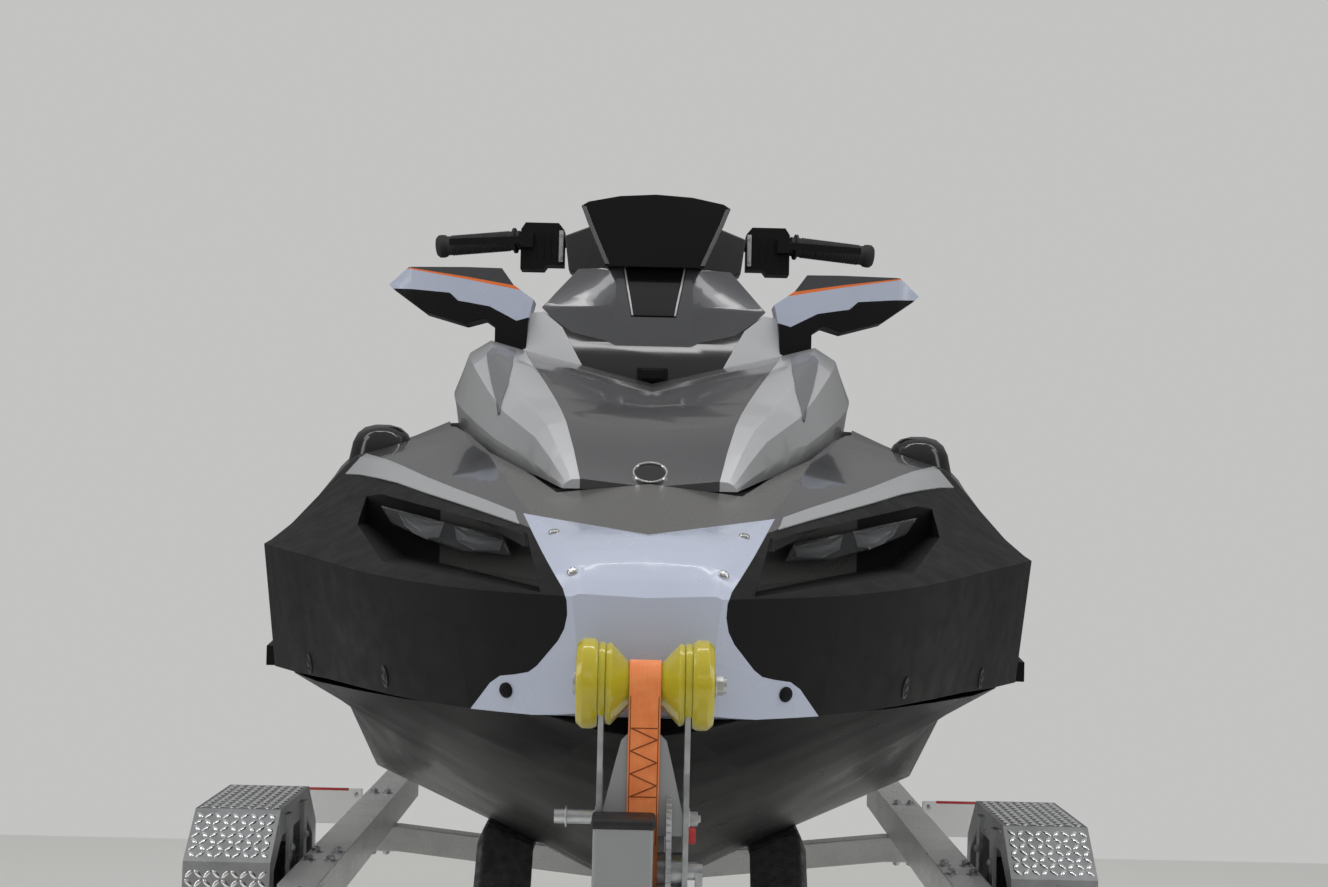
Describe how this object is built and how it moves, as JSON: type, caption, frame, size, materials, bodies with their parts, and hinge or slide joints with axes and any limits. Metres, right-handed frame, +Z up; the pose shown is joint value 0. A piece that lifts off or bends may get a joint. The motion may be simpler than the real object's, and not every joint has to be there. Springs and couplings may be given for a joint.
{
  "type": "personal watercraft on a road trailer",
  "caption": "Personal watercraft with a long padded seat, faceted bow, mirrors and jet pump, strapped on an aluminium road trailer with bunks, winch post and swing jack.",
  "frame": {"origin": "on the floor under the middle of the whole object's box", "axes": "+X to the craft's left side, -Y towards its bow and the trailer's coupler, +Z up"},
  "size_m": [1.7, 4.73, 1.727],
  "materials": {
    "hull_shell": "gloss gelcoat, black",
    "deck_shell": "gloss gelcoat, black",
    "collar": "metallic paint, warm dark grey",
    "graphite": "metallic paint, graphite",
    "silver": "metallic paint, silver",
    "white_shell": "gloss, bluish white",
    "bumper": "matt moulded black",
    "gloss_black": "gloss black",
    "trim_black": "satin black",
    "lamp": "clear lens",
    "seat": "coated upholstery",
    "mat": "ribbed foam mat",
    "grip": "soft rubber",
    "bar_metal": "black anodised",
    "mirror_face": "silvered",
    "display": "dark display",
    "engine_block": "cast",
    "pump_metal": "cast, painted",
    "steel": "stainless, brushed",
    "galvanised": "zinc coated",
    "frame_metal": "mill finish extrusion",
    "fender_plate": "tread plate, bright",
    "carpet": "marine carpet",
    "roller_poly": "translucent yellow",
    "webbing": "orange webbing",
    "tyre": "road tyre",
    "rim": "silver",
    "tail_lens": "red lens"
  },
  "bodies": {
    "craft_on_trailer": {"hull": "hull_shell", "deck": "deck_shell", "bow_deck": "collar", "shoulders": "graphite", "bumpers": "bumper", "headlamps": "lamp", "bow_plate": "white_shell", "rub_rails": "trim_black", "console": "graphite", "console_sides": "silver", "visor": "gloss_black", "gauge": "display", "hood_trim": "gloss_black", "seat_front": "seat", "seat_rear": "seat", "grab_handle": "trim_black", "foot_mats": "mat", "rear_mat": "mat", "speaker_pods": "gloss_black", "engine": "engine_block", "jet_pump": "pump_metal", "ride_plate": "trim_black", "intake_grate": "pump_metal", "sponsons": "trim_black", "transom_fittings": "steel", "bow_eye": "steel", "trailer_rails": "frame_metal", "cross_members": "frame_metal", "tongue": "frame_metal", "coupler": "galvanised", "bunks": "carpet", "bunk_brackets": "galvanised", "axle": "galvanised", "fenders": "fender_plate", "tail_lights": "tail_lens", "winch_post": "frame_metal", "winch": "galvanised", "bow_roller": "roller_poly", "winch_strap": "webbing", "mirrors": "white_shell", "mirror_bases": "trim_black", "footwells": "deck_shell", "light_boards": "frame_metal", "mirror_glass": "mirror_face"},
    "hood": {"hood": "graphite", "hood_sides": "silver", "hood_badge": "gloss_black"},
    "handlebar": {"handlebar": "bar_metal", "bar_pad": "trim_black", "grips": "grip", "hand_controls": "trim_black"},
    "nozzle": {"steering_nozzle": "pump_metal"},
    "reverse_bucket": {"reverse_bucket": "trim_black"},
    "boarding_step": {"boarding_step": "steel"},
    "glovebox_lid": {"glovebox_lid": "trim_black"},
    "jack": {"jack": "galvanised"},
    "wheel_left": {"tyre_left": "tyre", "rim_left": "rim"},
    "wheel_right": {"tyre_right": "tyre", "rim_right": "rim"}
  },
  "joints": [
    {"name": "wheel_left_spin", "type": "hinge", "parent": "craft_on_trailer", "child": "wheel_left", "pos_m": [0.769, 0.765, 0.265], "axis": [1, 0, 0], "continuous": true},
    {"name": "wheel_right_spin", "type": "hinge", "parent": "craft_on_trailer", "child": "wheel_right", "pos_m": [-0.769, 0.765, 0.265], "axis": [1, 0, 0], "continuous": true},
    {"name": "steering", "type": "hinge", "parent": "craft_on_trailer", "child": "handlebar", "pos_m": [0, 0.225, 1.62], "axis": [0, 0.4226, 0.9063], "range_deg": [-22, 22]},
    {"name": "nozzle_turn", "type": "hinge", "parent": "craft_on_trailer", "child": "nozzle", "pos_m": [0, 2.155, 0.69], "axis": [0, 0, 1], "range_deg": [-20, 20]},
    {"name": "reverse_bucket_drop", "type": "hinge", "parent": "craft_on_trailer", "child": "reverse_bucket", "pos_m": [0, 2.17, 0.69], "axis": [-1, 0, 0], "range_deg": [0, 72]},
    {"name": "hood_lift", "type": "hinge", "parent": "craft_on_trailer", "child": "hood", "pos_m": [0, -0.859, 1.231], "axis": [1, 0, 0], "range_deg": [0, 50]},
    {"name": "glovebox_lift", "type": "hinge", "parent": "craft_on_trailer", "child": "glovebox_lid", "pos_m": [0, 0.245, 1.44], "axis": [1, 0, 0], "range_deg": [0, 75]},
    {"name": "boarding_step_fold", "type": "hinge", "parent": "craft_on_trailer", "child": "boarding_step", "pos_m": [0, 2.135, 0.65], "axis": [-1, 0, 0], "range_deg": [0, 165]},
    {"name": "jack_swing", "type": "hinge", "parent": "craft_on_trailer", "child": "jack", "pos_m": [0.088, -1.815, 0.385], "axis": [1, 0, 0], "range_deg": [0, 90]}
  ],
  "couplings": [
    {"joint": "nozzle_turn", "follows": "steering", "ratio": -0.9}
  ]
}
